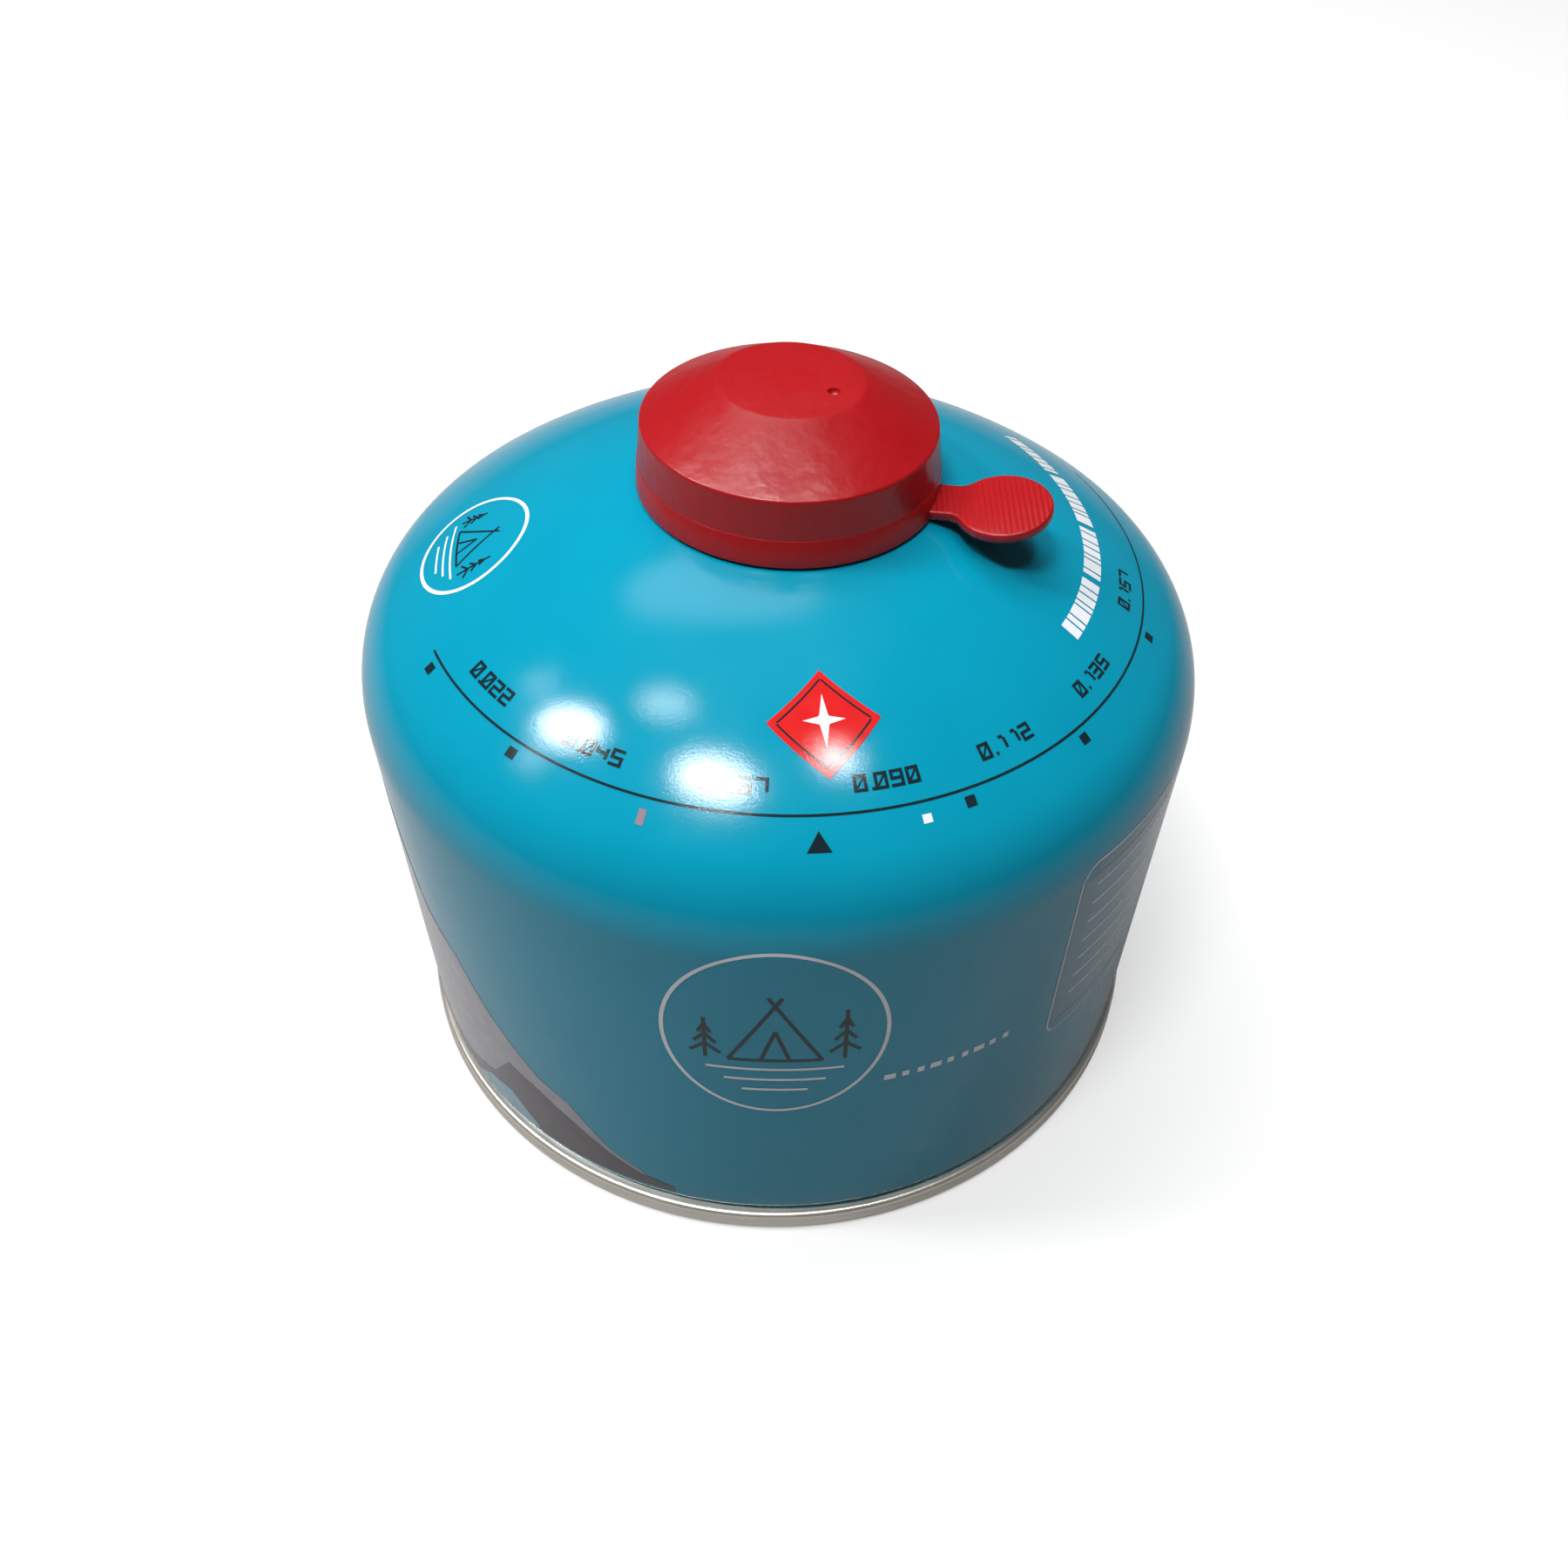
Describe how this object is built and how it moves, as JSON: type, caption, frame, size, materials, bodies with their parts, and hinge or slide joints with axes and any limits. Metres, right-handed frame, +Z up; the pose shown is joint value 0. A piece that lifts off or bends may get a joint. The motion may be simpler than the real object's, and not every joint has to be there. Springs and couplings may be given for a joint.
{
  "type": "fuel canister",
  "caption": "squat camping gas canister with a domed shoulder, a seamed foot, a threaded self-sealing valve on top and a pull-off plastic cap",
  "frame": {"origin": "middle of the ring under the double seam that the canister stands on", "axes": "+Z up along the canister's axis, -Y to the front of the printing, +X to the side that the cap's tab points to"},
  "size_m": [0.11, 0.11, 0.0975],
  "materials": {
    "paint": "semi-gloss teal paint on steel sheet",
    "tinplate": "bare tinned steel, drawn",
    "seal_rubber": "matt black",
    "white_plastic": "moulded, natural white",
    "spring_steel": "bright drawn wire",
    "red_plastic": "moulded red, soft gloss"
  },
  "bodies": {
    "can": {"canister": "paint", "valve_cup": "tinplate", "stem_seal": "seal_rubber", "valve_housing": "white_plastic", "valve_spring": "spring_steel"},
    "stem": {"valve_stem": "white_plastic"},
    "cap": {"cap": "red_plastic"}
  },
  "joints": [
    {"name": "stem_push", "type": "slide", "parent": "can", "child": "stem", "axis": [0, 0, 1], "range_m": [-0.0016, 0], "stiffness_N_per_m": 1800, "springref_m": 0.002, "deforming": ["valve_spring"]},
    {"name": "cap_pull", "type": "slide", "parent": "can", "child": "cap", "axis": [0, 0, 1], "range_m": [0, 0.03]}
  ]
}
